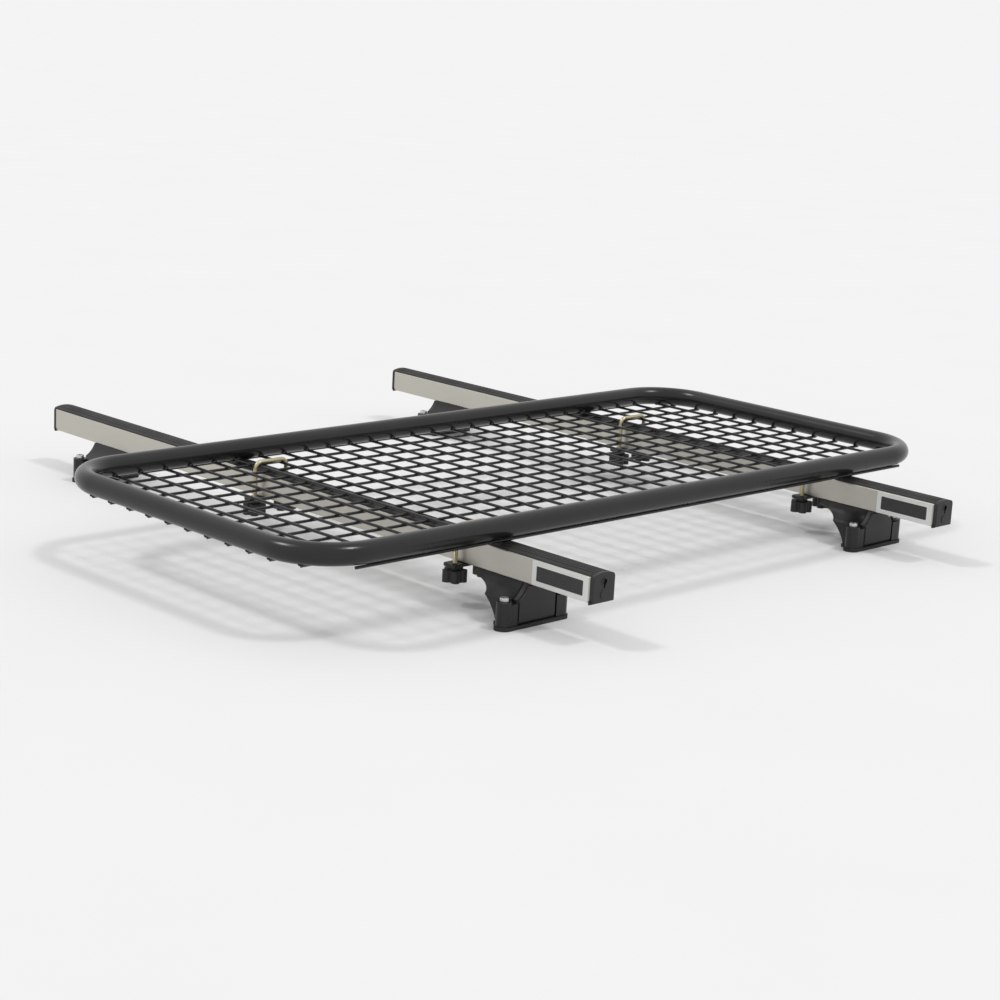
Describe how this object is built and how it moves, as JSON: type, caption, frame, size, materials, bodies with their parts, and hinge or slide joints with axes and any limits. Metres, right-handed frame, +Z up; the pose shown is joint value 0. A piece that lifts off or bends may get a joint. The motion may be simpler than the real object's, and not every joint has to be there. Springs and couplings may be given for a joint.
{
  "type": "flat platform roof rack with cross bars and feet",
  "caption": "Mesh platform roof rack in a bent tube hoop, clamped by U bolts to two silver cross bars that stand on dark feet",
  "frame": {"origin": "On the level plane under the four foot pads, below the middle of the rack's bounding box.", "axes": "+X to the vehicle's left, across it. +Y to the vehicle's rear, along it. +Z up."},
  "size_m": [1.418, 1.477, 0.1534],
  "materials": {
    "powder_coat": "satin",
    "anodised": "satin",
    "badge_plate": "satin",
    "rubber": "matte",
    "cap_plastic": "matte",
    "zinc": "satin",
    "bolt_steel": "satin"
  },
  "bodies": {
    "root": {"hoop": "powder_coat", "mesh_front": "powder_coat", "mesh_rear": "powder_coat", "bar_front": "anodised", "bar_rear": "anodised", "strip_front": "rubber", "strip_rear": "rubber", "cap_front_left": "cap_plastic", "cap_front_right": "cap_plastic", "cap_rear_left": "cap_plastic", "cap_rear_right": "cap_plastic", "label_front": "badge_plate", "label_rear": "badge_plate", "leg_front_left": "powder_coat", "leg_front_right": "powder_coat", "leg_rear_left": "powder_coat", "leg_rear_right": "powder_coat", "cover_front_left": "cap_plastic", "cover_front_right": "cap_plastic", "cover_rear_left": "cap_plastic", "cover_rear_right": "cap_plastic", "pad_front_left": "rubber", "pad_front_right": "rubber", "pad_rear_left": "rubber", "pad_rear_right": "rubber", "bolts_front_left": "bolt_steel", "bolts_front_right": "bolt_steel", "bolts_rear_left": "bolt_steel", "bolts_rear_right": "bolt_steel", "u_bolt_front_left": "zinc", "u_bolt_front_right": "zinc", "u_bolt_rear_left": "zinc", "u_bolt_rear_right": "zinc", "bridge_front_left": "powder_coat", "bridge_front_right": "powder_coat", "bridge_rear_left": "powder_coat", "bridge_rear_right": "powder_coat", "knobs_front_left": "cap_plastic", "knobs_front_right": "cap_plastic", "knobs_rear_left": "cap_plastic", "knobs_rear_right": "cap_plastic"}
  },
  "joints": []
}
